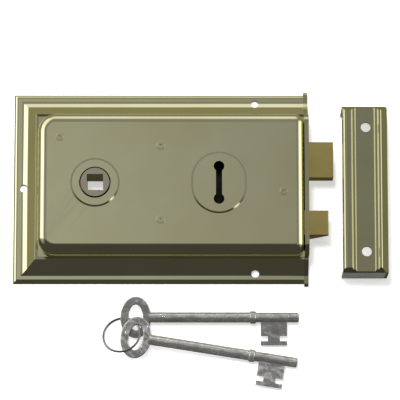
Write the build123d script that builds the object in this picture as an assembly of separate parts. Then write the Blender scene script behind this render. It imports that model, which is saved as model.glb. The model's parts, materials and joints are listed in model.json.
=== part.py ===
from build123d import *
import math
import os

# Two-lever rim sash lock in a moulded brass case, with its box keep and two keys on a wire ring.
# Millimetres. The lock lies on its back: the origin is the middle of the case's back face, +X runs
# to the bolts, +Y to the deadbolt's side of the case and +Z out of the face. The bolts are thrown.

# ---- Case -------------------------------------------------------------------------------------
CASE_LENGTH = 150.0        # moulded edge to forend face
CASE_HEIGHT = 98.0         # moulded edge to moulded edge
CASE_DEPTH = 19.0          # back face to the flat of the raised box
SHEET = 1.2                # pressed brass of the cover
BACK_PLATE = 1.0           # steel plate that closes the back
PLATE_GAP = 0.2            # all round the back plate, inside the cover's rim
FLANGE_WIDTH = 4.6         # flat outer step of the moulding
FLANGE_RISE = 2.2
KNEE_INSET = 7.0           # where the cove turns steep
KNEE_RISE = 3.6
LEDGE_INSET = 11.4         # where the cove meets the narrow upper ledge
LEDGE_RISE = 8.4
BOX_INSET = 12.8           # foot of the raised box
BOX_FOOT_RISE = 8.2        # the ledge dips to it
RIM_ROUND = 2.1
FLANGE_ROUND = 3.0
KNEE_ROUND = 3.0
LEDGE_ROUND = 0.15
BOX_CORNER = 9.0           # the box's two rounded corners, seen from the front
BOX_EDGE = 5.0             # rolled edge of the box on three sides
BOX_END_EDGE = 4.2         # its tighter edge at the forend
FOREND = 2.2               # end plate that the bolts pass through
FOREND_EAR = 1.3           # how far its two feet stand past the moulding
FOREND_EAR_RISE = 2.0
FOREND_STEP = 0.7          # how far its top lies below the box's face
BOSS_RISE = 0.3
BOSS_SLOPE = 0.9           # width of the slope round each boss
BOSS_SLOPE_RISE = 0.18
SPINDLE_BOSS = 25.0
KEY_BOSS_WIDTH = 28.0
KEY_BOSS_LENGTH = 31.7

# ---- Openings and fixings ---------------------------------------------------------------------
SPINDLE_BACKSET = 108.1    # forend face to the spindle's axis
KEY_BACKSET = 45.5         # forend face to the keyhole
KEY_SPREAD = 16.7          # between the keyhole's two round ends
KEY_EYE = 5.4              # diameter of each round end
KEY_SLOT = 3.1             # width of the slot between them
FIXING_HOLE = 4.0
FIXING_EDGE = 5.1          # fixing hole's centre from the moulded edge
FIXING_BACKSET = 27.0      # forend face to the pair of fixing holes

# ---- Clearances -------------------------------------------------------------------------------
RUNNING = 0.06             # radial, round a pivot
SLIDING = 0.2              # round a bolt or a guide post
CLEAR = 0.4                # between separate moving pieces

# ---- Posts between back plate and cover -------------------------------------------------------
POST = 5.0
SPIGOT = 3.2               # turned-down end that is riveted over
RIVET_HEAD = 4.0
RIVET_HEAD_RISE = 0.3
DIMPLE = 1.6
REAR_POST_INSET = 24.0     # from the left moulded edge
REAR_POST_Y = 23.5
GUIDE_BACKSET = 75.0       # forend face to the two guide posts
GUIDE_SPREAD = 38.0        # between the two guide posts
FRONT_POST_BACKSET = 12.8
FRONT_POST_Y = -4.3

# ---- Follower ---------------------------------------------------------------------------------
SPINDLE = 8.2              # square hole
JOURNAL = 14.6
FACE_HOLE = 16.0           # hole in the cover, wider than the journal
FOLLOWER_PROUD = 0.8       # above the boss
HUB = 17.0
HUB_RISE = 9.0             # top of the wide part, under which the face hole looks deep
HORN_LENGTH = 20.0         # tip from the spindle's axis
HORN_WIDTH = 6.0
NIB_REACH = 14.1           # far end of the tail's nib from the spindle's axis
NIB_LENGTH = 4.6
HORN_GAP = 0.35            # between horn and nib at rest

# ---- Latch ------------------------------------------------------------------------------------
LATCH_HEIGHT = 12.3
LATCH_Y = -20.05
LATCH_DEPTH = 13.4
LATCH_OUT = 9.8
LATCH_THROW = 10.3
LATCH_HEAD = 28.8          # whole length of the brass head
LATCH_NOSE = 3.6           # thickness left at the tip by the bevel
LATCH_TAIL = 2.4
LATCH_TAIL_RISE = 4.0      # back face to the tail's underside
LATCH_BAR = 4.5
LATCH_BAR_Y = -30.75
LATCH_ARM = 6.0
LATCH_ARM_X = 13.4         # from the spindle's axis to the middle of the upright arm
TAIL_LAP = 7.0             # length of tail under the latch head

# ---- Deadbolt ---------------------------------------------------------------------------------
BOLT_HEIGHT = 18.2
BOLT_Y = 12.7
BOLT_DEPTH = 9.2
BOLT_OUT = 12.5
BOLT_HEAD = 20.5
BOLT_TAIL = 3.0
BOLT_TAIL_HALF = 28.0      # half height of the tail plate
BOLT_TAIL_END = 5.5        # tail plate past the guide posts
WINDOW_HALF = 17.5         # half height of the window the key turns in
WINDOW_START = 14.5        # window's left edge, from the keyhole
WINDOW_ROUND = 4.0
LOWER_BAR_END = 14.5       # right end of the lower bar, from the keyhole
TALON_WIDTH = 9.0
TALON_DEPTH = 6.0
STUMP = 3.6
STUMP_X = 19.5             # from the keyhole
STUMP_Y = 25.0

# ---- Levers -----------------------------------------------------------------------------------
LEVER = 1.6
LEVER_GAP = 0.4
LEVER_LIFT = 3.5           # degrees
LEVER_HEIGHT = 30.5        # top edge, from the case's middle line
LEVER_FOOT = 14.0
LEVER_END = 24.5           # right end, from the keyhole
BELLY = 12.2               # radius of the belly that the key lifts
GATE_CLEAR = 0.35
SPACER = 8.0
LEAF = 0.4                 # thickness of the lever springs
LATCH_LEAF = 0.5
LATCH_LEAF_WIDTH = 5.0

# ---- Keep -------------------------------------------------------------------------------------
KEEP_LENGTH = 85.2
KEEP_WIDTH = 23.0
KEEP_DEPTH = 21.0
KEEP_APART = 16.8          # forend face to the keep's open side
KEEP_Y = -3.4
KEEP_SHEET = 1.5
KEEP_FRONT = 3.5           # moulded front, over its rims
KEEP_ROUND = 2.2           # front's edge on the open side
KEEP_SLOPE = 3.4           # width of the steep slope on the other side
KEEP_SLOPE_DROP = 4.0
KEEP_RIM = 5.2             # width of each raised rim
KEEP_STEP = 6.8            # rim's foot from the keep's edge
KEEP_CHANNEL = 1.7         # depth of the middle channel
KEEP_BEVEL = 2.2           # sloping ends of the moulding
KEEP_HOLE = 5.0
KEEP_HOLE_SPACING = 63.8
KEEP_HOLE_INSET = 12.0

# ---- Keys -------------------------------------------------------------------------------------
BOW_WIDTH = 15.7
BOW_HEIGHT = 21.0
BOW_HOLE_WIDTH = 7.2
BOW_HOLE_HEIGHT = 12.8
BOW_THICK = 2.2
KEY_REACH = 82.4           # bow's centre to the tip
SHANK = 5.2
PIN = 5.0                  # shank beyond the collar
COLLAR = 6.4
COLLAR_WIDTH = 3.0
COLLAR_AT = 59.2           # from the bow's centre
BIT_START = 63.2
BIT_WIDTH = 13.2
BIT_RADIUS = 14.1
BIT_THICK = 2.5
BIT_NOTCH = 2.6            # height of the side notches
BIT_NOTCH_DEPTH = 3.6
BIT_FOOT = 2.1             # left outside the notches
RING_RADIUS = 9.461        # to the middle of the wire
RING_WIRE = 1.1

# ---- Places worked out from the sizes above ---------------------------------------------------
x_left = -CASE_LENGTH / 2
x_face = CASE_LENGTH / 2
x_wall = x_face - FOREND
x_inside = x_wall - SHEET
half = CASE_HEIGHT / 2
inside_top = CASE_DEPTH - SHEET
middle_z = (BACK_PLATE + inside_top) / 2
box_half = half - BOX_INSET

spindle_x = x_face - SPINDLE_BACKSET
key_x = x_face - KEY_BACKSET
guide_x = x_face - GUIDE_BACKSET
key_axis = (key_x, KEY_SPREAD / 2)

bolt_bottom = middle_z - BOLT_DEPTH / 2
bolt_top = bolt_bottom + BOLT_DEPTH
bolt_tail_top = bolt_bottom + BOLT_TAIL
bolt_lap_end = x_inside - CLEAR
latch_bottom = middle_z - LATCH_DEPTH / 2
latch_top = latch_bottom + LATCH_DEPTH
latch_tail_top = LATCH_TAIL_RISE + LATCH_TAIL
lever_floor = bolt_tail_top + LEVER_GAP
lever_stack_top = lever_floor + 2 * LEVER + LEVER_GAP
stump_top = lever_stack_top + LEVER_GAP


# ---- Small helpers ----------------------------------------------------------------------------
def block(x0, x1, y0, y1, z0, z1):
    centre = Pos((x0 + x1) / 2, (y0 + y1) / 2, (z0 + z1) / 2)
    return centre * Box(x1 - x0, y1 - y0, z1 - z0)


def rod(x, y, radius, z0, z1):
    return Pos(x, y, (z0 + z1) / 2) * Cylinder(radius, z1 - z0)


def outline(points, radii):
    return make_face(FilletPolyline(*points, radius=radii, close=True))


def plate(face, z0, thickness):
    return Pos(0, 0, z0) * extrude(face, amount=thickness)


def across(face, x0, x1):
    """Extrudes a section drawn in (Y, Z) from x0 to x1."""
    return extrude(Plane.YZ.offset(x0) * face, amount=x1 - x0)


def along(face, y0, y1):
    """Extrudes a section drawn in (X, Z) from y0 to y1."""
    return extrude(Plane.XZ.offset(-y1) * face, amount=y1 - y0)


def oval_slot(x0, x1, y, width, z0, z1):
    """A slot along X whose round ends are centred on x0 and x1."""
    face = Pos((x0 + x1) / 2, y) * SlotCenterToCenter(x1 - x0, width)
    return plate(face, z0, z1 - z0)


# ---- Case -------------------------------------------------------------------------------------
def moulding_corners(inset):
    """Corners of the moulding from its outer edge in, or of the same form that much inside it."""
    corners = [
        (0.0, FLANGE_RISE),
        (FLANGE_WIDTH, FLANGE_RISE),
        (KNEE_INSET, KNEE_RISE),
        (LEDGE_INSET, LEDGE_RISE),
        (BOX_INSET, BOX_FOOT_RISE),
    ]
    return [(step + inset, rise - inset) for step, rise in corners]


def moulding_rounds(inset):
    rim = 0.0 if inset else RIM_ROUND
    return [rim, FLANGE_ROUND, KNEE_ROUND, LEDGE_ROUND, 0.0]


def moulded_edge(inset, floor):
    """The moulding swept round three sides with mitred corners, open towards the forend."""
    inner = BOX_INSET + BOX_CORNER / 2
    end = x_wall - inset
    points = [(inset, floor)] + moulding_corners(inset) + [(inner, BOX_FOOT_RISE - inset), (inner, floor)]
    section = outline(points, [0.0] + moulding_rounds(inset) + [0.0, 0.0])
    start = Plane(origin=(end, half, 0), x_dir=(0, -1, 0), z_dir=(-1, 0, 0))
    path = Polyline((end, half, 0), (x_left, half, 0), (x_left, -half, 0), (end, -half, 0))
    return sweep(start * section, path=path, transition=Transition.RIGHT)


def raised_box(inset, floor):
    y = box_half - inset
    body = block(x_left + BOX_INSET + inset, x_wall - inset, -y, y, floor, CASE_DEPTH - inset)
    left_corners = body.edges().filter_by(Axis.Z).group_by(Axis.X)[0]
    body = fillet(left_corners, BOX_CORNER - inset)
    rim = body.faces().sort_by(Axis.Z)[-1].edges()
    end = rim.sort_by(Axis.X)[-1]
    body = fillet(end, BOX_END_EDGE - inset)
    rim = body.faces().sort_by(Axis.Z)[-1].edges()
    return fillet(rim.sort_by(Axis.X)[:-1], BOX_EDGE - inset)


def keyhole(z0, z1):
    eyes = [rod(key_x, side * KEY_SPREAD / 2, KEY_EYE / 2, z0, z1) for side in (-1, 1)]
    slot = block(key_x - KEY_SLOT / 2, key_x + KEY_SLOT / 2, -KEY_SPREAD / 2, KEY_SPREAD / 2, z0, z1)
    return slot + eyes


def fixing_places():
    """Centres of the three fixing holes in the moulded edge."""
    side = half - FIXING_EDGE
    return [(x_left + FIXING_EDGE, 0), (x_face - FIXING_BACKSET, side), (x_face - FIXING_BACKSET, -side)]


def post_places():
    guide_y = GUIDE_SPREAD / 2
    return {
        "rear_pillar": (x_left + REAR_POST_INSET, REAR_POST_Y),
        "lever_pivot_post": (guide_x, guide_y),
        "lower_guide_post": (guide_x, -guide_y),
        "front_guide_post": (x_face - FRONT_POST_BACKSET, FRONT_POST_Y),
    }


def bolt_windows():
    """Openings for the two bolts, through the cover's end wall and the forend."""
    openings = []
    for y, height, z0, z1 in (
        (BOLT_Y, BOLT_HEIGHT, bolt_bottom, bolt_top),
        (LATCH_Y, LATCH_HEIGHT, latch_bottom, latch_top),
    ):
        y0 = y - height / 2 - SLIDING
        y1 = y + height / 2 + SLIDING
        openings.append(block(x_inside - 1, x_face + 1, y0, y1, z0 - SLIDING, z1 + SLIDING))
    return openings


def sloped_edge(boss):
    top = boss.faces().sort_by(Axis.Z)[-1]
    return chamfer(top.edges(), BOSS_SLOPE, BOSS_SLOPE_RISE, reference=top)


def case_cover():
    boss_top = CASE_DEPTH + BOSS_RISE
    spindle_boss = rod(spindle_x, 0, SPINDLE_BOSS / 2, inside_top, boss_top)
    key_boss = Pos(key_x, 0) * Rot(0, 0, 90)
    key_boss = key_boss * SlotOverall(KEY_BOSS_LENGTH, KEY_BOSS_WIDTH)
    key_boss = plate(key_boss, inside_top, boss_top - inside_top)
    shell = moulded_edge(0.0, 0.0) + raised_box(0.0, 0.0) + sloped_edge(spindle_boss) + sloped_edge(key_boss)
    shell = shell - moulded_edge(SHEET, -1.0) - raised_box(SHEET, -1.0)
    above = boss_top + 1
    shell -= rod(spindle_x, 0, FACE_HOLE / 2, BACK_PLATE, above)
    shell -= keyhole(BACK_PLATE, above)
    for x, y in post_places().values():
        shell -= rod(x, y, SPIGOT / 2 + RUNNING / 2, BACK_PLATE, above)
    for x, y in fixing_places():
        shell -= rod(x, y, FIXING_HOLE / 2, -1, LEDGE_RISE)
    for opening in bolt_windows():
        shell -= opening
    return shell


def back_plate():
    edge = SHEET + PLATE_GAP
    body = block(x_left + edge, x_inside - PLATE_GAP, edge - half, half - edge, 0, BACK_PLATE)
    body -= rod(spindle_x, 0, JOURNAL / 2 + RUNNING, -1, 2 * BACK_PLATE)
    for x, y in post_places().values():
        body -= rod(x, y, SPIGOT / 2 + RUNNING / 2, -1, 2 * BACK_PLATE)
    for x, y in fixing_places():
        body -= rod(x, y, FIXING_HOLE / 2, -1, 2 * BACK_PLATE)
    return body


def forend_plate():
    top = CASE_DEPTH - FOREND_STEP
    foot = [(half + FOREND_EAR, 0), (half + FOREND_EAR, FOREND_EAR_RISE / 2), (half, FOREND_EAR_RISE)]
    foot += [(half - FLANGE_WIDTH, FLANGE_RISE), (half - KNEE_INSET, KNEE_RISE)]
    foot += [(half - LEDGE_INSET, LEDGE_RISE), (box_half, LEDGE_RISE), (box_half, top)]
    rounds = [0, 0, 0, FLANGE_ROUND, KNEE_ROUND, LEDGE_ROUND, 0, BOX_EDGE]
    points = foot + [(-y, z) for y, z in reversed(foot)]
    body = across(outline(points, rounds + rounds[::-1]), x_wall, x_face)
    for opening in bolt_windows():
        body -= opening
    return body


def post(x, y):
    body = rod(x, y, POST / 2, BACK_PLATE, inside_top)
    body += rod(x, y, SPIGOT / 2, 0, CASE_DEPTH)
    head_top = CASE_DEPTH + RIVET_HEAD_RISE
    head = rod(x, y, RIVET_HEAD / 2, CASE_DEPTH, head_top)
    head = fillet(head.faces().sort_by(Axis.Z)[-1].edges(), RIVET_HEAD_RISE / 2)
    head -= Pos(x, y, head_top + DIMPLE / 4) * Sphere(DIMPLE / 2)
    return body + head


def lever_spacer():
    x, y = post_places()["lever_pivot_post"]
    low = lever_stack_top + LEVER_GAP
    return rod(x, y, SPACER / 2, low, inside_top) - rod(x, y, POST / 2, low - 1, inside_top + 1)


# ---- Follower and latch -----------------------------------------------------------------------
def follower():
    low = LATCH_TAIL_RISE
    body = rod(spindle_x, 0, JOURNAL / 2, PLATE_GAP, CASE_DEPTH + BOSS_RISE + FOLLOWER_PROUD)
    body += rod(spindle_x, 0, HUB / 2, BACK_PLATE + CLEAR, HUB_RISE)
    horns = Pos(spindle_x, 0) * RectangleRounded(HORN_WIDTH, 2 * HORN_LENGTH, HORN_WIDTH / 4)
    body += plate(horns, low, LATCH_TAIL)
    socket = SPINDLE / 2
    top = CASE_DEPTH + BOSS_RISE + FOLLOWER_PROUD + 1
    return body - block(spindle_x - socket, spindle_x + socket, -socket, socket, -1, top)


def latch_head():
    tip = x_face + LATCH_OUT
    rear = tip - LATCH_HEAD
    points = [
        (rear, latch_tail_top),
        (rear + TAIL_LAP, latch_tail_top),
        (rear + TAIL_LAP, latch_bottom),
        (x_face + SHEET, latch_bottom),
        (tip, latch_top - LATCH_NOSE),
        (tip, latch_top),
        (rear, latch_top),
    ]
    rounds = [0, 0, 0, 3.0, 0.8, 0.4, 0]
    body = along(outline(points, rounds), LATCH_Y - LATCH_HEIGHT / 2, LATCH_Y + LATCH_HEIGHT / 2)
    for x, y in latch_rivet_places():
        body -= rod(x, y, SPIGOT / 2, LATCH_TAIL_RISE - 1, middle_z)
    return body


def latch_rivet_places():
    x = x_face + LATCH_OUT - LATCH_HEAD + TAIL_LAP / 2
    return [(x, LATCH_Y - LATCH_HEIGHT / 4), (x, LATCH_Y + LATCH_HEIGHT / 4)]


def latch_tail():
    """Flat tail: bar under the deadbolt, upright arm behind the follower and a nib for each horn."""
    rear = x_face + LATCH_OUT - LATCH_HEAD
    arm_left = spindle_x - LATCH_ARM_X - LATCH_ARM / 2
    arm_right = arm_left + LATCH_ARM
    nib_tip = spindle_x - HORN_WIDTH / 2 - HORN_GAP
    nib_foot = NIB_REACH - NIB_LENGTH
    bar_low = LATCH_BAR_Y - LATCH_BAR / 2
    bar_high = LATCH_BAR_Y + LATCH_BAR / 2
    head_high = LATCH_Y + LATCH_HEIGHT / 2
    points = [
        (arm_left, bar_low),
        (rear + TAIL_LAP, bar_low),
        (rear + TAIL_LAP, head_high),
        (rear, head_high),
        (rear, bar_high),
        (arm_right, bar_high),
        (arm_right, -NIB_REACH),
        (nib_tip, -NIB_REACH),
        (nib_tip, -nib_foot),
        (arm_right, -nib_foot),
        (arm_right, nib_foot),
        (nib_tip, nib_foot),
        (nib_tip, NIB_REACH),
        (arm_left, NIB_REACH),
    ]
    rounds = [2, 1, 0, 0, 2, 2, 0, 0, 0.5, 0, 0, 0.5, 0, 2]
    body = plate(outline(points, rounds), LATCH_TAIL_RISE, LATCH_TAIL)
    for x, y in latch_rivet_places():
        body -= rod(x, y, SPIGOT / 2, LATCH_TAIL_RISE - 1, latch_tail_top + 1)
    return body


def latch_rivets():
    return [rod(x, y, SPIGOT / 2, LATCH_TAIL_RISE, middle_z) for x, y in latch_rivet_places()]


def latch_spring():
    """Leaf wrapped round the rear pillar; its free end bears on the latch's upright arm."""
    x, y = post_places()["rear_pillar"]
    middle = (LATCH_TAIL_RISE + latch_tail_top) / 2
    arm_left = spindle_x - LATCH_ARM_X - LATCH_ARM / 2
    eye = POST / 2 + LATCH_LEAF
    free_end = (arm_left - HORN_GAP - LATCH_LEAF / 2, -NIB_REACH)
    start = (x - eye + LATCH_LEAF / 2, y)
    leaf = TangentArc(start, free_end, tangent=(0, -1))
    face = trace(leaf, line_width=LATCH_LEAF) + Pos(x, y) * Circle(eye)
    face -= Pos(x, y) * Circle(POST / 2)
    return plate(face, middle - LATCH_LEAF_WIDTH / 2, LATCH_LEAF_WIDTH)


# ---- Deadbolt ---------------------------------------------------------------------------------
def deadbolt_head():
    tip = x_face + BOLT_OUT
    rear = tip - BOLT_HEAD
    points = [
        (rear, bolt_tail_top),
        (bolt_lap_end, bolt_tail_top),
        (bolt_lap_end, bolt_bottom),
        (tip, bolt_bottom),
        (tip, bolt_top),
        (rear, bolt_top),
    ]
    body = along(outline(points, [0, 0, 0, 0.5, 0.5, 0]), BOLT_Y - BOLT_HEIGHT / 2, BOLT_Y + BOLT_HEIGHT / 2)
    for x, y in deadbolt_rivet_places():
        body -= rod(x, y, SPIGOT / 2, bolt_bottom - 1, middle_z + CLEAR)
    return body


def deadbolt_rivet_places():
    x = (x_face + BOLT_OUT - BOLT_HEAD + bolt_lap_end) / 2
    return [(x, BOLT_Y - BOLT_HEIGHT / 4), (x, BOLT_Y + BOLT_HEIGHT / 4)]


def deadbolt_rivets():
    return [rod(x, y, SPIGOT / 2, bolt_bottom, middle_z + CLEAR) for x, y in deadbolt_rivet_places()]


def stump_place():
    return (key_x + STUMP_X, STUMP_Y)


def deadbolt_tail():
    """Steel plate with the key's window, a talon above and below it and two guide slots."""
    left = guide_x - BOLT_TAIL_END
    window_left = key_x - WINDOW_START
    window_right = key_x + BIT_RADIUS + BOLT_OUT + CLEAR
    lower_end = key_x + LOWER_BAR_END
    talon_middle = key_x + BOLT_OUT / 2
    talon_left = talon_middle - TALON_WIDTH / 2
    talon_right = talon_middle + TALON_WIDTH / 2
    talon_top = WINDOW_HALF + TALON_DEPTH
    head_low = BOLT_Y - BOLT_HEIGHT / 2
    points = [
        (left, -BOLT_TAIL_HALF),
        (lower_end, -BOLT_TAIL_HALF),
        (lower_end, -WINDOW_HALF),
        (talon_right, -WINDOW_HALF),
        (talon_right, -talon_top),
        (talon_left, -talon_top),
        (talon_left, -WINDOW_HALF),
        (window_left, -WINDOW_HALF),
        (window_left, WINDOW_HALF),
        (talon_left, WINDOW_HALF),
        (talon_left, talon_top),
        (talon_right, talon_top),
        (talon_right, WINDOW_HALF),
        (window_right, WINDOW_HALF),
        (window_right, head_low),
        (bolt_lap_end, head_low),
        (bolt_lap_end, BOLT_TAIL_HALF),
        (left, BOLT_TAIL_HALF),
    ]
    corner = WINDOW_ROUND
    rounds = [2, 1, 1, 0.5, 0, 0, 0.5, corner, corner, 0.5, 0, 0, 0.5, 1, 0, 0, 1, 2]
    body = plate(outline(points, rounds), bolt_bottom, BOLT_TAIL)
    for y in (-GUIDE_SPREAD / 2, GUIDE_SPREAD / 2):
        width = POST + 2 * SLIDING
        body -= oval_slot(guide_x, guide_x + BOLT_OUT, y, width, bolt_bottom - 1, bolt_tail_top + 1)
    x, y = stump_place()
    body -= rod(x, y, STUMP / 2, bolt_bottom - 1, bolt_tail_top + 1)
    for x, y in deadbolt_rivet_places():
        body -= rod(x, y, SPIGOT / 2, bolt_bottom - 1, bolt_tail_top + 1)
    return body


def bolt_stump():
    x, y = stump_place()
    return rod(x, y, STUMP / 2, bolt_bottom, stump_top)


# ---- Levers -----------------------------------------------------------------------------------
def lever_bottom(index):
    return lever_floor + index * (LEVER + LEVER_GAP)


def lever(index):
    """Lever plate: pivot eye, belly over the key and a slanting gate that the stump runs in."""
    pivot_x, pivot_y = post_places()["lever_pivot_post"]
    right = key_x + LEVER_END
    points = [
        (pivot_x - POST, LEVER_FOOT),
        (right, LEVER_FOOT + 1.5),
        (right, LEVER_HEIGHT),
        (pivot_x + 3 * POST, LEVER_HEIGHT),
        (pivot_x - POST, pivot_y + POST),
    ]
    face = outline(points, [2, 2, 3, 4, 3])
    face -= Pos(*key_axis) * Circle(BELLY - index * LEVER_GAP)
    face -= Pos(pivot_x, pivot_y) * Circle(POST / 2 + RUNNING)
    x, y = stump_place()
    turn = math.radians(LEVER_LIFT)
    dx = x - BOLT_OUT - pivot_x
    dy = y - pivot_y
    end_x = pivot_x + dx * math.cos(turn) + dy * math.sin(turn)
    end_y = pivot_y + dy * math.cos(turn) - dx * math.sin(turn)
    length = math.hypot(x - end_x, y - end_y)
    slant = math.degrees(math.atan2(y - end_y, x - end_x))
    gate = Pos((x + end_x) / 2, (y + end_y) / 2) * Rot(0, 0, slant)
    face -= gate * SlotCenterToCenter(length, STUMP + 2 * GATE_CLEAR)
    return plate(face, lever_bottom(index), LEVER)


def lever_spring(index):
    """Leaf along the lever's top edge that rises to bear on the case's upper wall."""
    pivot_x, _ = post_places()["lever_pivot_post"]
    seat_start = (pivot_x + 3 * POST + 1.5, LEVER_HEIGHT + LEAF / 2)
    seat_end = (seat_start[0] + 2 * POST, seat_start[1])
    wall = box_half - SHEET - LEAF
    tip = (seat_end[0] + 5 * POST, wall)
    path = Line(seat_start, seat_end) + TangentArc(seat_end, tip, tangent=(1, 0))
    return plate(trace(path, line_width=LEAF), lever_bottom(index), LEVER)


# ---- Keep -------------------------------------------------------------------------------------
def keep_section():
    """Moulded front with two raised rims and a middle channel, and the wall behind it."""
    under = KEEP_DEPTH - KEEP_FRONT
    floor = KEEP_DEPTH - KEEP_CHANNEL
    lip = KEEP_DEPTH - KEEP_CHANNEL / 2
    far = KEEP_WIDTH
    points = [
        (0, under),
        (0, KEEP_DEPTH),
        (KEEP_RIM - 0.6, KEEP_DEPTH),
        (KEEP_RIM, lip),
        (KEEP_STEP - 0.4, lip),
        (KEEP_STEP, floor),
        (far - KEEP_STEP, floor),
        (far - KEEP_STEP + 0.4, lip),
        (far - KEEP_RIM, lip),
        (far - KEEP_RIM + 0.6, KEEP_DEPTH),
        (far - KEEP_SLOPE, KEEP_DEPTH),
        (far, KEEP_DEPTH - KEEP_SLOPE_DROP),
        (far, 0),
        (far - KEEP_SHEET, 0),
        (far - KEEP_SHEET, under),
    ]
    rounds = [0, KEEP_ROUND, 0.3, 0.3, 0.2, 0.3, 0.3, 0.2, 0.3, 0.3, 1.2, 0.6, 0, 0, 0]
    face = outline(points, rounds)
    return Pos(x_face + KEEP_APART, 0) * face


def keep_front():
    y0 = KEEP_Y - KEEP_LENGTH / 2
    y1 = KEEP_Y + KEEP_LENGTH / 2
    body = along(keep_section(), y0, y1)
    low = KEEP_DEPTH - KEEP_BEVEL
    x0 = x_face + KEEP_APART
    for y, side in ((y0, 1), (y1, -1)):
        corner = [(y, low), (y + side * KEEP_BEVEL, KEEP_DEPTH), (y + side * KEEP_BEVEL, KEEP_DEPTH + 1)]
        corner += [(y - side, KEEP_DEPTH + 1), (y - side, low)]
        body -= across(outline(corner, 0), x0 - 1, x0 + KEEP_WIDTH + 1)
    for side in (-1, 1):
        y = KEEP_Y + side * KEEP_HOLE_SPACING / 2
        body -= rod(x0 + KEEP_HOLE_INSET, y, KEEP_HOLE / 2, KEEP_DEPTH / 2, KEEP_DEPTH + 1)
    return body


def keep_end_plates():
    x0 = x_face + KEEP_APART
    x1 = x0 + KEEP_WIDTH - KEEP_SHEET
    top = KEEP_DEPTH - KEEP_FRONT
    plates = []
    for side in (-1, 1):
        outer = KEEP_Y + side * KEEP_LENGTH / 2
        inner = outer - side * KEEP_SHEET
        plates.append(block(x0, x1, min(outer, inner), max(outer, inner), 0, top))
    return plates


# ---- Keys -------------------------------------------------------------------------------------
def key():
    """A key lying flat: bow's centre at the origin, shank along +X, bit towards -Y."""
    bow = Ellipse(BOW_WIDTH / 2, BOW_HEIGHT / 2) - Ellipse(BOW_HOLE_WIDTH / 2, BOW_HOLE_HEIGHT / 2)
    bow = plate(bow, -BOW_THICK / 2, BOW_THICK)
    bow = fillet(bow.edges(), BOW_THICK / 4)
    start = BOW_WIDTH / 2 - SHANK / 4
    shaft = Cylinder(SHANK / 2, COLLAR_AT - start, align=(Align.CENTER, Align.CENTER, Align.MIN))
    shaft = Pos(0, 0, start) * shaft
    collar = Pos(0, 0, COLLAR_AT) * Cylinder(COLLAR / 2, COLLAR_WIDTH)
    collar = fillet(collar.edges().filter_by(GeomType.CIRCLE), COLLAR_WIDTH / 5)
    pin = Cylinder(PIN / 2, KEY_REACH - COLLAR_AT, align=(Align.CENTER, Align.CENTER, Align.MIN))
    pin = Pos(0, 0, COLLAR_AT) * pin
    pin = chamfer(pin.faces().sort_by(Axis.Z)[-1].edges(), PIN / 8)
    turned = Rot(0, 90, 0) * (shaft + collar + pin)
    end = BIT_START + BIT_WIDTH
    notch_low = BIT_FOOT - BIT_RADIUS
    notch_high = notch_low + BIT_NOTCH
    bit = block(BIT_START, end, -BIT_RADIUS, 0, -BIT_THICK / 2, BIT_THICK / 2)
    bit -= block(BIT_START - 1, BIT_START + BIT_NOTCH_DEPTH, notch_low, notch_high, -BIT_THICK, BIT_THICK)
    bit -= block(end - BIT_NOTCH_DEPTH, end + 1, notch_low, notch_high, -BIT_THICK, BIT_THICK)
    return bow + turned + bit


def first_key():
    return Pos(-12.5, -66.6, 4.0) * Rot(0, 0.2, 0) * Rot(10.1, 0, 0) * key()


def second_key():
    return Pos(-12.4, -77.1, 5.77) * Rot(0, 0, -8.7) * Rot(0, 2.22, 0) * Rot(4.2, 0, 0) * key()


def key_ring():
    lie = Plane(origin=(-19.635, -75.543, 4.198), z_dir=(math.sin(-0.218), math.sin(0.362), 1.0))
    return lie * Torus(RING_RADIUS, RING_WIRE / 2)


# ---- Writing the pieces -----------------------------------------------------------------------
def pieces():
    made = {
        "case_cover": case_cover(),
        "back_plate": back_plate(),
        "forend_plate": forend_plate(),
        "lever_spacer": lever_spacer(),
        "follower": follower(),
        "latch_head": latch_head(),
        "latch_tail": latch_tail(),
        "latch_rivets": latch_rivets(),
        "latch_spring": latch_spring(),
        "deadbolt_head": deadbolt_head(),
        "deadbolt_tail": deadbolt_tail(),
        "deadbolt_rivets": deadbolt_rivets(),
        "bolt_stump": bolt_stump(),
        "keep_front": keep_front(),
        "keep_end_plates": keep_end_plates(),
        "key_ring": key_ring(),
        "key_1": first_key(),
        "key_2": second_key(),
    }
    for name, (x, y) in post_places().items():
        made[name] = post(x, y)
    for index in range(2):
        made[f"lever_{index + 1}"] = lever(index)
        made[f"lever_{index + 1}_spring"] = lever_spring(index)
    return made


def main():
    os.makedirs("parts", exist_ok=True)
    for name, shape in pieces().items():
        solids = shape if isinstance(shape, list) else shape.solids()
        whole = solids[0] if len(solids) == 1 else Compound(children=list(solids))
        export_step(whole, f"parts/{name}.step")


if __name__ == "__main__":
    main()
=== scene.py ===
# %% [markdown]
# # A brass rim sash lock with its keep and two keys
#
# The metal pieces come from the CAD model with their true sizes. This notebook gives each of
# them a finish, lays the set on a pale table and lights it as a small studio would. Polished
# brass has hardly any colour of its own: it shows what stands round it. So the light cells
# matter as much as the material cells.

# %% Load the frame and measure the set
import json

import bpy
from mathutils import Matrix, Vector


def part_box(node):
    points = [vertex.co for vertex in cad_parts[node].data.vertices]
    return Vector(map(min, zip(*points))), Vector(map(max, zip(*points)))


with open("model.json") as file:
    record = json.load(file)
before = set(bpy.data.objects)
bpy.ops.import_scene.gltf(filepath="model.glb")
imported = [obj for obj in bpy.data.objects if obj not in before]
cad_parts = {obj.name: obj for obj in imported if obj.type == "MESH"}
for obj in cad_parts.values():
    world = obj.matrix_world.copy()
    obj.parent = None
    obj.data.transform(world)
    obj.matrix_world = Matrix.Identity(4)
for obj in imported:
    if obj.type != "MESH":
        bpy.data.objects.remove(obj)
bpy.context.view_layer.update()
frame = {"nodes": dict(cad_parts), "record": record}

record = frame["record"]
nodes = frame["nodes"]
print("pieces:", len(nodes))

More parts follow.
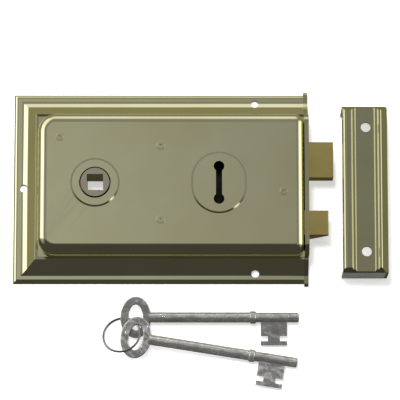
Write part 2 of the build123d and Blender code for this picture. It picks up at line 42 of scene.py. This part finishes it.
# %% [markdown]
# ## Small helpers for node trees
#
# Every finish below is a tree of shader nodes. Two helpers keep those cells short: one adds a
# node with its settings, the other adds a Math node and joins its sockets. A third starts a
# node group with named sockets and a fourth places it, so that an effect is built once and
# used in many materials.


# %% Helpers for trees and groups
def add_node(tree, kind, **settings):
    """Adds a shader node; settings are its properties."""
    node = tree.nodes.new(kind)
    for name, value in settings.items():
        setattr(node, name, value)
    return node


def calculate(tree, operation, first, second=None, third=None):
    """A Math node on sockets or plain numbers; returns its result socket."""
    node = add_node(tree, "ShaderNodeMath", operation=operation)
    for slot, value in enumerate((first, second, third)):
        if value is None:
            continue
        if hasattr(value, "is_linked"):
            tree.links.new(value, node.inputs[slot])
        else:
            node.inputs[slot].default_value = value
    return node.outputs[0]


def new_group(name, inputs, outputs):
    """An empty node group with named sockets; returns the tree and its two end nodes."""
    tree = bpy.data.node_groups.new(name, "ShaderNodeTree")
    for label, kind, value in inputs:
        socket = tree.interface.new_socket(name=label, in_out="INPUT", socket_type=kind)
        if value is not None:
            socket.default_value = value
    for label, kind in outputs:
        tree.interface.new_socket(name=label, in_out="OUTPUT", socket_type=kind)
    return tree, tree.nodes.new("NodeGroupInput"), tree.nodes.new("NodeGroupOutput")


def place_group(tree, group, **values):
    """Puts a group in a material; underscores in the names stand for spaces."""
    node = add_node(tree, "ShaderNodeGroup", node_tree=group)
    for name, value in values.items():
        socket = node.inputs[name.replace("_", " ")]
        if hasattr(value, "is_linked"):
            tree.links.new(value, socket)
        else:
            socket.default_value = value
    return node


FLOAT = "NodeSocketFloat"
COLOUR = "NodeSocketColor"
VECTOR = "NodeSocketVector"
print("helpers ready")

# %% [markdown]
# ## Effects that the finishes share
#
# Sheet brass that was pressed and then polished is never dead flat: the wheel leaves faint
# dishing that makes reflections wander. This could be modelled in the mesh, but it is only
# about a hundredth of a millimetre deep, so a slow noise used as bump height suits it better.


# %% Effect: polishing waves
MICRON = 0.000001


def make_polish_waves():
    tree, start, end = new_group(
        "Polish waves",
        [("Position", VECTOR, None), ("Waves per metre", FLOAT, 40.0), ("Depth", FLOAT, 20.0 * MICRON)],
        [("Height", FLOAT)],
    )
    noise = add_node(tree, "ShaderNodeTexNoise")
    noise.inputs["Detail"].default_value = 1.0
    noise.inputs["Roughness"].default_value = 0.4
    tree.links.new(start.outputs["Position"], noise.inputs["Vector"])
    tree.links.new(start.outputs["Waves per metre"], noise.inputs["Scale"])
    height = calculate(tree, "MULTIPLY", noise.outputs[0], start.outputs["Depth"])
    tree.links.new(height, end.inputs["Height"])
    return tree


polish_waves = make_polish_waves()
print(polish_waves.name, [s.name for s in polish_waves.interface.items_tree])

# %% [markdown]
# Handling leaves hairline marks that run in no one direction. A stretched noise, cut hard near
# its middle, gives thin broken lines. Two copies, one turned, cross each other.


# %% Effect: hairlines
HAIRLINE_TURNS = (0.35, 1.9)
HAIRLINE_STRETCH = (0.06, 1.0, 1.0)


def make_hairlines():
    tree, start, end = new_group(
        "Hairlines",
        [("Position", VECTOR, None), ("Lines per metre", FLOAT, 600.0), ("Thinness", FLOAT, 0.02)],
        [("Mask", FLOAT)],
    )
    found = []
    for turn in HAIRLINE_TURNS:
        mapping = add_node(tree, "ShaderNodeMapping")
        mapping.inputs["Rotation"].default_value = (0.0, 0.0, turn)
        mapping.inputs["Scale"].default_value = HAIRLINE_STRETCH
        noise = add_node(tree, "ShaderNodeTexNoise")
        noise.inputs["Detail"].default_value = 2.0
        tree.links.new(start.outputs["Position"], mapping.inputs["Vector"])
        tree.links.new(mapping.outputs["Vector"], noise.inputs["Vector"])
        tree.links.new(start.outputs["Lines per metre"], noise.inputs["Scale"])
        centred = calculate(tree, "SUBTRACT", noise.outputs[0], 0.5)
        distance = calculate(tree, "ABSOLUTE", centred)
        ratio = calculate(tree, "DIVIDE", distance, start.outputs["Thinness"])
        line = calculate(tree, "SUBTRACT", 1.0, ratio)
        found.append(calculate(tree, "MAXIMUM", line, 0.0))
    both = calculate(tree, "MAXIMUM", found[0], found[1])
    tree.links.new(both, end.inputs["Mask"])
    return tree


hairlines = make_hairlines()
print(hairlines.name, "ready")

# %% [markdown]
# Lacquered brass dulls unevenly. A broad noise gives a soft mask from bright to dull, which
# each metal uses for its own two colours and for a little extra roughness.


# %% Effect: uneven film
CLEAN_BELOW = 0.35
DULL_ABOVE = 0.68


def make_film():
    tree, start, end = new_group(
        "Uneven film",
        [
            ("Position", VECTOR, None),
            ("Patches per metre", FLOAT, 25.0),
            ("Bright colour", COLOUR, (0.8, 0.8, 0.8, 1.0)),
            ("Dull colour", COLOUR, (0.6, 0.6, 0.6, 1.0)),
        ],
        [("Color", COLOUR), ("Mask", FLOAT)],
    )
    noise = add_node(tree, "ShaderNodeTexNoise")
    noise.inputs["Detail"].default_value = 4.0
    noise.inputs["Roughness"].default_value = 0.55
    tree.links.new(start.outputs["Position"], noise.inputs["Vector"])
    tree.links.new(start.outputs["Patches per metre"], noise.inputs["Scale"])
    spread = add_node(tree, "ShaderNodeMapRange", clamp=True)
    spread.inputs["From Min"].default_value = CLEAN_BELOW
    spread.inputs["From Max"].default_value = DULL_ABOVE
    tree.links.new(noise.outputs[0], spread.inputs["Value"])
    mix = add_node(tree, "ShaderNodeMix", data_type="RGBA")
    tree.links.new(spread.outputs["Result"], mix.inputs["Factor"])
    tree.links.new(start.outputs["Bright colour"], mix.inputs["A"])
    tree.links.new(start.outputs["Dull colour"], mix.inputs["B"])
    tree.links.new(mix.outputs["Result"], end.inputs["Color"])
    tree.links.new(spread.outputs["Result"], end.inputs["Mask"])
    return tree


uneven_film = make_film()
print(uneven_film.name, "ready")

# %% [markdown]
# Raised edges rub clean and bright, and dirt stays in the hollows. Wear could be drawn by
# hand, but the Geometry node's Pointiness already knows the shape: it is about a half on flat
# metal, more on an outside edge and less in a hollow.


# %% Effect: edges and hollows
FLAT = 0.5


def make_edges():
    tree, start, end = new_group(
        "Edges and hollows",
        [("Sharpness", FLOAT, 8.0)],
        [("Edge", FLOAT), ("Hollow", FLOAT)],
    )
    geometry = add_node(tree, "ShaderNodeNewGeometry")
    off_flat = calculate(tree, "SUBTRACT", geometry.outputs["Pointiness"], FLAT)
    scaled = calculate(tree, "MULTIPLY", off_flat, start.outputs["Sharpness"])
    edge = calculate(tree, "MINIMUM", calculate(tree, "MAXIMUM", scaled, 0.0), 1.0)
    turned = calculate(tree, "MULTIPLY", scaled, -1.0)
    hollow = calculate(tree, "MINIMUM", calculate(tree, "MAXIMUM", turned, 0.0), 1.0)
    tree.links.new(edge, end.inputs["Edge"])
    tree.links.new(hollow, end.inputs["Hollow"])
    return tree


edges_and_hollows = make_edges()
print(edges_and_hollows.name, "ready")

# %% [markdown]
# Milled, rolled and drawn metal has a grain that runs one way. A noise squeezed along that
# way gives it. The group takes the squeeze as a vector, so one group serves bars, sheets and
# wire: a small number in a direction means a long grain that way.


# %% Effect: directional grain
def make_grain():
    tree, start, end = new_group(
        "Directional grain",
        [
            ("Position", VECTOR, None),
            ("Squeeze", VECTOR, (0.03, 1.0, 1.0)),
            ("Lines per metre", FLOAT, 3000.0),
        ],
        [("Grain", FLOAT)],
    )
    stretched = add_node(tree, "ShaderNodeVectorMath", operation="MULTIPLY")
    tree.links.new(start.outputs["Position"], stretched.inputs[0])
    tree.links.new(start.outputs["Squeeze"], stretched.inputs[1])
    noise = add_node(tree, "ShaderNodeTexNoise")
    noise.inputs["Detail"].default_value = 3.0
    tree.links.new(stretched.outputs["Vector"], noise.inputs["Vector"])
    tree.links.new(start.outputs["Lines per metre"], noise.inputs["Scale"])
    tree.links.new(noise.outputs[0], end.inputs["Grain"])
    return tree


directional_grain = make_grain()
print(directional_grain.name, "ready")

# %% [markdown]
# ## One recipe for every metal
#
# All pieces here are metal, so they differ only in numbers: colours, roughness, grain, waves
# and marks. One function builds a Principled material from those numbers. The Principled
# shader stays in the material, and the groups only feed its sockets.

# %% The metal recipe
DIRT_SHADE = 0.45
DIRT_COVER = 0.35
EDGE_POLISH = -0.3


def metal(name, bright, dull, roughness, grain=0.0, squeeze=(0.03, 1.0, 1.0), grain_scale=3000.0,
          waves=0.0, wave_scale=40.0, marks=0.05, film=0.05, patches=25.0, metallic=1.0):
    """A metal finish; grain and waves are heights in metres, marks and film add roughness."""
    material = bpy.data.materials.new(name)
    material.use_nodes = True
    tree = material.node_tree
    shader = tree.nodes["Principled BSDF"]
    shader.inputs["Metallic"].default_value = metallic
    position = add_node(tree, "ShaderNodeTexCoord").outputs["Object"]

    colour = place_group(tree, uneven_film, Position=position, Patches_per_metre=patches,
                         Bright_colour=(*bright, 1.0), Dull_colour=(*dull, 1.0))
    places = place_group(tree, edges_and_hollows)
    dirt = add_node(tree, "ShaderNodeMix", data_type="RGBA")
    dirt.inputs["B"].default_value = (*[c * DIRT_SHADE for c in dull], 1.0)
    tree.links.new(colour.outputs["Color"], dirt.inputs["A"])
    cover = calculate(tree, "MULTIPLY", places.outputs["Hollow"], DIRT_COVER)
    tree.links.new(cover, dirt.inputs["Factor"])
    tree.links.new(dirt.outputs["Result"], shader.inputs["Base Color"])

    lines = place_group(tree, hairlines, Position=position)
    rough = calculate(tree, "MULTIPLY_ADD", lines.outputs["Mask"], marks, roughness)
    rough = calculate(tree, "MULTIPLY_ADD", colour.outputs["Mask"], film, rough)
    rough = calculate(tree, "MULTIPLY_ADD", places.outputs["Edge"], EDGE_POLISH * roughness, rough)
    tree.links.new(rough, shader.inputs["Roughness"])

    soft = place_group(tree, polish_waves, Position=position, Waves_per_metre=wave_scale, Depth=waves)
    fine = place_group(tree, directional_grain, Position=position, Squeeze=squeeze,
                       Lines_per_metre=grain_scale)
    height = calculate(tree, "MULTIPLY_ADD", fine.outputs["Grain"], grain, soft.outputs["Height"])
    bump = add_node(tree, "ShaderNodeBump")
    bump.inputs["Strength"].default_value = 1.0
    bump.inputs["Distance"].default_value = 1.0
    tree.links.new(height, bump.inputs["Height"])
    tree.links.new(bump.outputs["Normal"], shader.inputs["Normal"])
    return material


print("metal recipe ready")

# %% [markdown]
# ## The finishes
#
# The cover and the keep are pressed from sheet brass, polished and lacquered: a pale, slightly green yellow
# with a mirror gloss. The keep's copy of that brass is painted darker, as painted shade. The forend is a
# rolled strip with its grain along Y. The ends of the keep were never polished, so they get a greyer brass
# with little mirror left.

# %% Mix the sheet brass
PALE_BRASS = (0.88, 0.86, 0.55)
DULL_BRASS = (0.84, 0.80, 0.49)

finishes = {
    "cover_brass": metal("Lacquered cover brass", PALE_BRASS, DULL_BRASS, 0.07,
                         waves=12.0 * MICRON, wave_scale=38.0, marks=0.03, film=0.02),
    "forend_brass": metal("Forend brass", (0.74, 0.70, 0.42), (0.66, 0.62, 0.35), 0.12,
                          grain=0.8 * MICRON, squeeze=(1.0, 0.03, 1.0), waves=4.0 * MICRON, marks=0.04),
    # The keep's colours are the cover brass darkened: painted shade.
    "keep_brass": metal("Keep brass with painted shade", (0.64, 0.62, 0.38), (0.58, 0.56, 0.33), 0.09,
                        waves=8.0 * MICRON, wave_scale=45.0, marks=0.03, film=0.02),
    "keep_end_brass": metal("Dull keep ends", (0.46, 0.46, 0.43), (0.36, 0.36, 0.33), 0.4,
                            grain=2.0 * MICRON, squeeze=(0.05, 1.0, 1.0), marks=0.06, metallic=0.4),
}
print("sheet brass finishes:", len(finishes))

# %% [markdown]
# The working pieces are solid brass. The bolt heads are cast, a warmer yellow, and milled but
# not polished, so they get a deep grain and a satin roughness. The follower and the posts are
# turned, which leaves them smoother. The levers are stamped sheet and stay dull inside the case.

# %% Mix the solid brass
finishes["bolt_brass"] = metal("Milled bolt brass", (0.94, 0.77, 0.29), (0.78, 0.61, 0.20), 0.24,
                               grain=3.0 * MICRON, squeeze=(1.0, 0.04, 1.0), grain_scale=2500.0, marks=0.08)
finishes["follower_brass"] = metal("Turned follower brass", (0.70, 0.65, 0.48), (0.62, 0.57, 0.40), 0.16,
                                   grain=1.0 * MICRON, squeeze=(1.0, 1.0, 0.1), marks=0.06)
finishes["post_brass"] = metal("Turned post brass", PALE_BRASS, DULL_BRASS, 0.14,
                               grain=1.0 * MICRON, squeeze=(1.0, 1.0, 0.05), marks=0.05)
finishes["lever_brass"] = metal("Stamped lever brass", (0.40, 0.33, 0.16), (0.32, 0.26, 0.12), 0.3,
                                grain=2.0 * MICRON, squeeze=(0.05, 1.0, 1.0), marks=0.08)
print("with solid brass:", len(finishes))

# %% [markdown]
# The back plate, the bolt tails, their rivets and the springs are steel. They show only as darkness behind
# the keyhole, and from below. The back plate and the bolt tails are painted nearly black: painted shade for
# the dark inside of the case, on a metal with a medium roughness and a rolled grain along X.

# %% Mix the steel
# Painted shade: the plate and tail steel colours are darkened to stand for the shade inside the case.
finishes["plate_steel"] = metal("Plate steel painted dark as shade", (0.07, 0.07, 0.07), (0.05, 0.05, 0.05), 0.34,
                                grain=3.0 * MICRON, squeeze=(0.02, 1.0, 1.0), marks=0.08, film=0.08)
finishes["tail_steel"] = metal("Tail steel painted dark as shade", (0.13, 0.13, 0.13), (0.09, 0.09, 0.09), 0.35,
                               grain=3.0 * MICRON, squeeze=(0.02, 1.0, 1.0), marks=0.08, film=0.08)
finishes["rivet_steel"] = metal("Turned rivet steel", (0.60, 0.60, 0.58), (0.50, 0.50, 0.48), 0.28,
                                grain=1.0 * MICRON, squeeze=(1.0, 1.0, 0.05), marks=0.05)
finishes["spring_steel"] = metal("Spring steel", (0.42, 0.42, 0.44), (0.33, 0.33, 0.35), 0.3,
                                 grain=2.0 * MICRON, squeeze=(0.05, 1.0, 1.0), marks=0.05)
print("with steel:", len(finishes))

# %% [markdown]
# The keys are rough castings, tumbled and nickel plated. Plating follows every lump of the
# casting, so their waves are many times deeper and closer than those of the cover, and small
# patches of film break the shine up further. The ring is plain bright wire.

# %% Mix the key finishes
finishes["key_nickel"] = metal("Nickel plated keys", (0.98, 0.97, 0.94), (0.66, 0.65, 0.62), 0.16,
                               grain=3.0 * MICRON, squeeze=(0.2, 1.0, 1.0), grain_scale=1500.0,
                               waves=600.0 * MICRON, wave_scale=260.0, marks=0.1, film=0.08,
                               patches=200.0, metallic=0.86)
finishes["ring_steel"] = metal("Bright ring wire", (0.40, 0.40, 0.40), (0.30, 0.30, 0.30), 0.18,
                               grain=1.0 * MICRON, marks=0.05)
print("all finishes:", sorted(finishes))

# %% [markdown]
# Each piece names its own finish in the frame's record, so one loop can dress them all.
# Whatever slots the CAD meshes come with are cleared first.

# %% Give each piece its finish
for entry in record["subparts"]:
    piece = nodes[entry["node"]]
    piece.data.materials.clear()
    piece.data.materials.append(finishes[entry["material_slot"]])
print("dressed", len(record["subparts"]), "pieces")

# %% [markdown]
# The keys lie close to the lower moulding, which would mirror them as loose bright smudges. A
# studio would shoot them apart. Here they only stay out of mirror images.

# %% Keep the keys out of mirror images
for name in ("key_1", "key_2", "key_ring"):
    nodes[name].visible_glossy = False
print("keys hidden from gloss only")

# %% [markdown]
# ## Table
#
# The set lies on plain white card. A large flat sheet with a faint fibre in it is enough.
# It glows a little, as a light table does, so that it stays pale at the bottom of the screw holes too. The
# brass doesn't mirror it: the tent's lower half, painted further on, stands in for it, evenly.

# %% Make the table
CARD_HALF_WIDTH = 2.5
CARD_GAP = 0.00005
CARD_GLOW = 0.55


def make_table(half_width, top):
    corners = [(-half_width, -half_width, top), (half_width, -half_width, top),
               (half_width, half_width, top), (-half_width, half_width, top)]
    mesh = bpy.data.meshes.new("white_card")
    mesh.from_pydata(corners, [], [(0, 1, 2, 3)])
    card = bpy.data.objects.new("white_card", mesh)
    bpy.context.scene.collection.objects.link(card)
    material = bpy.data.materials.new("White card")
    material.use_nodes = True
    tree = material.node_tree
    shader = tree.nodes["Principled BSDF"]
    shader.inputs["Roughness"].default_value = 0.9
    shader.inputs["Specular IOR Level"].default_value = 0.1
    position = add_node(tree, "ShaderNodeTexCoord").outputs["Object"]
    fibre = place_group(tree, uneven_film, Position=position, Patches_per_metre=6.0,
                        Bright_colour=(0.93, 0.93, 0.93, 1.0), Dull_colour=(0.91, 0.91, 0.91, 1.0))
    tree.links.new(fibre.outputs["Color"], shader.inputs["Base Color"])
    shader.inputs["Emission Color"].default_value = (1.0, 1.0, 1.0, 1.0)
    shader.inputs["Emission Strength"].default_value = CARD_GLOW
    mesh.materials.append(material)
    return card


lowest = min(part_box(name)[0].z for name in nodes)
table = make_table(CARD_HALF_WIDTH, lowest - CARD_GAP)
table.visible_glossy = False
print("lowest piece at", round(lowest, 5))

# %% [markdown]
# ## Light tent
#
# Polished metal needs large soft shapes to mirror. A small tent has white side walls, a grey
# roof with a gap for the camera and an open, dark front. The roof's grey is what the flat
# face shows; the side walls give the bright lines along the mouldings; the open front makes
# the slopes that face it almost black. Real sheets could hang there, but painting the walls
# into the world by direction keeps them soft and out of the way.


# %% One soft wall of the tent
def make_soft_wall():
    tree, start, end = new_group(
        "Soft wall",
        [("Direction", VECTOR, None), ("Towards", VECTOR, (0.0, 0.0, 1.0)), ("Spread", FLOAT, 0.5),
         ("Softness", FLOAT, 0.1), ("Brightness", FLOAT, 1.0)],
        [("Light", FLOAT)],
    )
    facing = add_node(tree, "ShaderNodeVectorMath", operation="DOT_PRODUCT")
    unit = add_node(tree, "ShaderNodeVectorMath", operation="NORMALIZE")
    tree.links.new(start.outputs["Direction"], facing.inputs[0])
    tree.links.new(start.outputs["Towards"], unit.inputs[0])
    tree.links.new(unit.outputs["Vector"], facing.inputs[1])
    off = calculate(tree, "ARCCOSINE", facing.outputs["Value"])
    inner = calculate(tree, "SUBTRACT", start.outputs["Spread"], start.outputs["Softness"])
    outer = calculate(tree, "ADD", start.outputs["Spread"], start.outputs["Softness"])
    fade = add_node(tree, "ShaderNodeMapRange", interpolation_type="SMOOTHSTEP")
    tree.links.new(off, fade.inputs["Value"])
    tree.links.new(outer, fade.inputs["From Min"])
    tree.links.new(inner, fade.inputs["From Max"])
    light = calculate(tree, "MULTIPLY", fade.outputs["Result"], start.outputs["Brightness"])
    tree.links.new(light, end.inputs["Light"])
    return tree


soft_wall = make_soft_wall()
print(soft_wall.name, "ready")

# %% [markdown]
# Each wall is a soft patch of the sky: the way towards it, how far it spreads and how softly it
# ends, both in radians, and its brightness. Left, right, back, the corner between left and
# back, and a faint patch of the roof are enough.

# %% Hang the walls of the tent
ROOF_GREY = 0.235
TENT_WALLS = [
    ((-0.91, 0.05, 0.41), 0.40, 0.18, 1.15),
    ((0.88, 0.05, 0.47), 0.46, 0.20, 1.15),
    ((0.0, 0.93, 0.36), 0.30, 0.20, 0.62),
    ((-0.64, 0.64, 0.42), 0.42, 0.18, 0.80),
    ((-0.12, 0.16, 0.98), 0.12, 0.12, 0.20),
]

tent = bpy.data.worlds.new("Light tent")
bpy.context.scene.world = tent
tent.use_nodes = True
sky = tent.node_tree
direction = add_node(sky, "ShaderNodeTexCoord").outputs["Generated"]
apart = add_node(sky, "ShaderNodeSeparateXYZ")
sky.links.new(direction, apart.inputs["Vector"])

total = ROOF_GREY
for towards, spread, softness, brightness in TENT_WALLS:
    wall = place_group(sky, soft_wall, Direction=direction, Towards=towards,
                       Spread=spread, Softness=softness, Brightness=brightness)
    total = calculate(sky, "ADD", wall.outputs["Light"], total)
print("walls:", len(TENT_WALLS))

# %% [markdown]
# The front of the tent is open, so less than a quarter of the light is left towards -Y. One
# small lamp hangs high on that side: only the slopes round the bosses catch it.

# %% Open the front and hang the small lamp
OPEN_FRONT = 0.23
FRONT_EDGE = 0.10


def ramp(tree, value, low, high):
    """Rises smoothly from 0 to 1 as the value goes from low to high."""
    fade = add_node(tree, "ShaderNodeMapRange", interpolation_type="SMOOTHSTEP")
    tree.links.new(value, fade.inputs["Value"])
    fade.inputs["From Min"].default_value = low
    fade.inputs["From Max"].default_value = high
    return fade.outputs["Result"]


behind_front = ramp(sky, apart.outputs["Y"], -FRONT_EDGE, FRONT_EDGE)
front_share = calculate(sky, "MULTIPLY_ADD", behind_front, 1.0 - OPEN_FRONT, OPEN_FRONT)
tent_light = calculate(sky, "MULTIPLY", total, front_share)
small_lamp = place_group(sky, soft_wall, Direction=direction, Towards=(0.27, -0.10, 0.96),
                         Spread=0.05, Softness=0.03, Brightness=1.0)
tent_light = calculate(sky, "ADD", tent_light, small_lamp.outputs["Light"])
print("front open, share of light left there:", OPEN_FRONT)

# %% [markdown]
# Under the horizon the brass would see the shaded table and its own warm glow on it: dim and
# yellow, and darker in front. That light is tinted channel by channel and added to the tent's.

# %% Paint the light from below
HORIZON = 0.04
TABLE_IN_FRONT = 0.06
TABLE_BEHIND = 0.20
TABLE_TINT = {"Red": 1.0, "Green": 0.94, "Blue": 0.62}

above = ramp(sky, apart.outputs["Z"], -HORIZON, HORIZON)
below = calculate(sky, "SUBTRACT", 1.0, above)
tent_light = calculate(sky, "MULTIPLY", tent_light, above)
table_share = calculate(sky, "MULTIPLY_ADD", behind_front, TABLE_BEHIND, TABLE_IN_FRONT)
table_light = calculate(sky, "MULTIPLY", below, table_share)
mixed = add_node(sky, "ShaderNodeCombineColor")
for channel, tint in TABLE_TINT.items():
    light = calculate(sky, "MULTIPLY_ADD", table_light, tint, tent_light)
    sky.links.new(light, mixed.inputs[channel])
sky.links.new(mixed.outputs["Color"], sky.nodes["Background"].inputs["Color"])
print("sky nodes:", len(sky.nodes))

# %% [markdown]
# The card must come out white, but the roof above it has to stay grey in the brass. Lamps that
# gloss doesn't see do the first without touching the second: one over the set, one behind it
# and a weak one at the left. Their soft shadows fall towards the front and the right.


# %% Lamps for the table
def soft_lamp(name, place, aim, width, length, power):
    """A rectangular lamp that lights the card but isn't mirrored by the metal."""
    light = bpy.data.lights.new(name, "AREA")
    light.shape = "RECTANGLE"
    light.size = width
    light.size_y = length
    light.energy = power
    lamp = bpy.data.objects.new(name, light)
    lamp.location = place
    lamp.rotation_euler = (Vector(aim) - Vector(place)).to_track_quat("-Z", "Y").to_euler()
    lamp.visible_glossy = False
    bpy.context.scene.collection.objects.link(lamp)
    return lamp


middle = (0.02, 0.0, 0.0)
lamps = [
    soft_lamp("roof_lamp", (-0.25, 0.45, 2.2), middle, 0.40, 0.40, 26.0),
    soft_lamp("back_wall_lamp", (-0.50, 1.70, 1.0), middle, 1.0, 0.6, 26.0),
    soft_lamp("left_wall_lamp", (-1.6, 0.5, 1.3), middle, 1.0, 1.0, 9.0),
]
print("lamps:", [lamp.name for lamp in lamps])

# %% [markdown]
# ## Camera
#
# The view is from almost straight above, tipped about eleven degrees towards the lower edge,
# with a long lens, so that the outlines stay nearly parallel.

# %% Set the camera
SENSOR_WIDTH = 36.0
FOCAL_LENGTH = 285.3
CAMERA_PLACE = (0.01110, -0.30470, 1.58921)
CAMERA_TURN = (0.1861, -0.0056, -0.0005)
FARTHEST_SEEN = 20.0

lens = bpy.data.cameras.new("long_lens")
lens.sensor_width = SENSOR_WIDTH
lens.lens = FOCAL_LENGTH
lens.clip_end = FARTHEST_SEEN
camera = bpy.data.objects.new("camera", lens)
camera.location = CAMERA_PLACE
camera.rotation_mode = "ZXY"
camera.rotation_euler = CAMERA_TURN
bpy.context.scene.collection.objects.link(camera)
bpy.context.scene.camera = camera
bpy.context.scene.view_settings.view_transform = "Standard"
print("camera turned", [round(v, 4) for v in camera.rotation_euler])

# %% [markdown]

# %% End
print("done")
